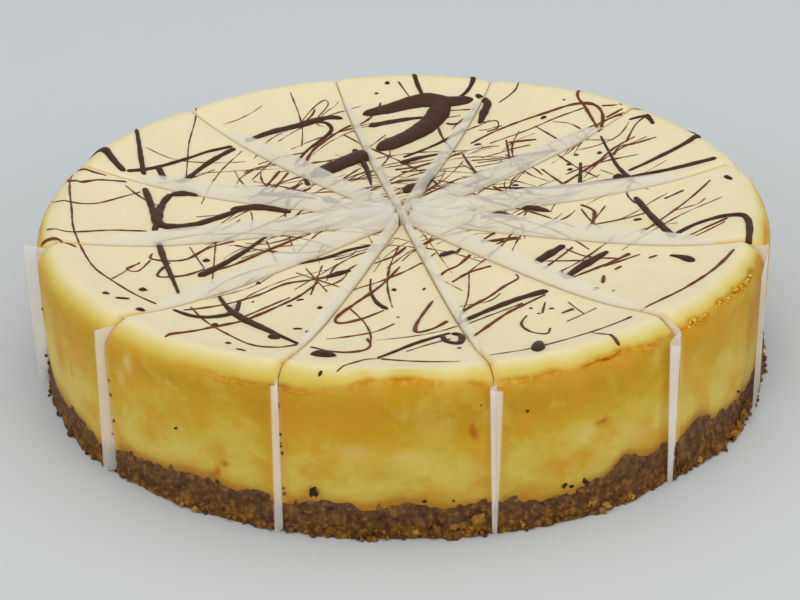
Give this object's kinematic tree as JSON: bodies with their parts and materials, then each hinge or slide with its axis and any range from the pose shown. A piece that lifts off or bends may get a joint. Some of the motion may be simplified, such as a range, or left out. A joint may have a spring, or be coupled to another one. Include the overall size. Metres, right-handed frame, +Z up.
{
  "type": "cheesecake",
  "caption": "Round baked cheesecake on a crumb crust, cut into equal wedges with a paper divider in each cut, chocolate drizzled over a sunken top.",
  "frame": {"origin": "on the table, under the middle of the round cake", "axes": "+Z up out of the top, the pictured side faces -Y, +X to the right in the picture"},
  "size_m": [0.2368, 0.2368, 0.0526],
  "materials": {
    "crust": "dark baked cookie crumb pressed firm, matte and grainy",
    "filling": "baked cream cheese filling, pale satin top browned gold at the side, under dark chocolate",
    "paper": "thin off-white greaseproof paper, slightly see-through, matte"
  },
  "bodies": {
    "root": {"crust_01": "crust", "crust_02": "crust", "crust_03": "crust", "crust_04": "crust", "crust_05": "crust", "crust_06": "crust", "crust_07": "crust", "crust_08": "crust", "crust_09": "crust", "crust_10": "crust", "crust_11": "crust", "crust_12": "crust", "filling_01": "filling", "filling_02": "filling", "filling_03": "filling", "filling_04": "filling", "filling_05": "filling", "filling_06": "filling", "filling_07": "filling", "filling_08": "filling", "filling_09": "filling", "filling_10": "filling", "filling_11": "filling", "filling_12": "filling", "paper_01": "paper", "paper_02": "paper", "paper_03": "paper", "paper_04": "paper", "paper_05": "paper", "paper_06": "paper", "paper_07": "paper", "paper_08": "paper", "paper_09": "paper", "paper_10": "paper", "paper_11": "paper", "paper_12": "paper"}
  },
  "joints": []
}
